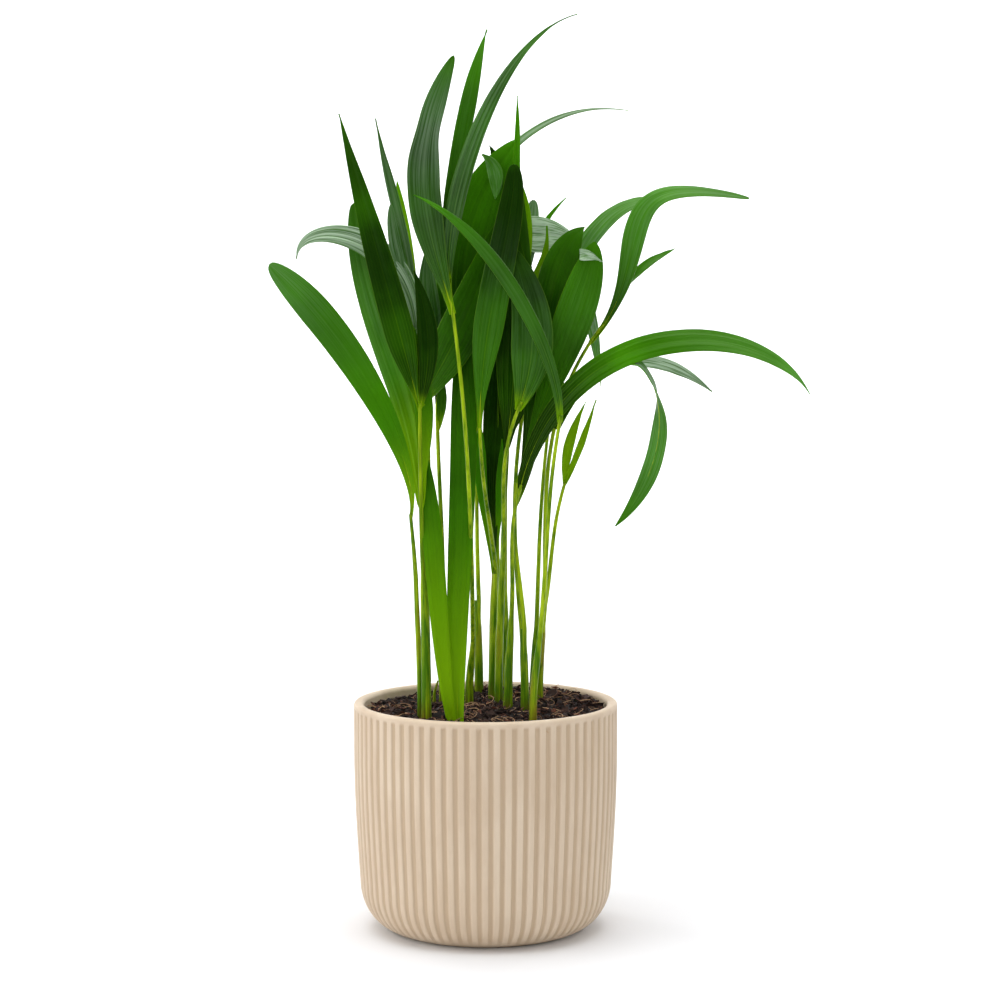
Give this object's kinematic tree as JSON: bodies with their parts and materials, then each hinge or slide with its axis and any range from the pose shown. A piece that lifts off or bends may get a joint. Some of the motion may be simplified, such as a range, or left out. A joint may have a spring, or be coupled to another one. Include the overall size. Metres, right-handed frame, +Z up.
{
  "type": "potted areca palm",
  "caption": "Young areca palm with upright stems and broad arching leaves, growing in a finely ribbed beige stoneware pot filled with potting soil.",
  "frame": {"origin": "centre of the pot's flat underside, where the pot stands on the floor", "axes": "+Z up along the pot's axis, -Y the side that faces the viewer, +X to the viewer's right"},
  "size_m": [0.275, 0.2205, 0.484],
  "materials": {
    "pot": "matte",
    "soil": "matte",
    "stem": "satin",
    "leaf": "satin"
  },
  "bodies": {
    "root": {"pot": "pot", "soil": "soil", "stem_1": "stem", "stem_2": "stem", "stem_3": "stem", "stem_4": "stem", "stem_5": "stem", "stem_6": "stem", "stem_7": "stem", "stem_8": "stem", "stem_9": "stem", "stem_10": "stem", "stem_11": "stem", "stem_12": "stem", "stem_13": "stem", "stem_14": "stem", "stem_15": "stem", "stem_16": "stem", "frond_top_fan": "leaf", "frond_front_blade": "leaf", "frond_right": "leaf", "frond_upper_right": "leaf", "frond_behind_right": "leaf", "frond_broad_pair": "leaf", "frond_behind_centre": "leaf", "frond_left": "leaf", "frond_far_left": "leaf", "frond_arching_left": "leaf", "frond_front_pair": "leaf", "frond_pale_centre": "leaf", "frond_ribbed_centre": "leaf", "frond_small": "leaf", "frond_spear": "leaf", "frond_silvery": "leaf", "frond_long_arch": "leaf", "frond_back_left": "leaf", "frond_back_centre": "leaf", "frond_back_right": "leaf"}
  },
  "joints": []
}
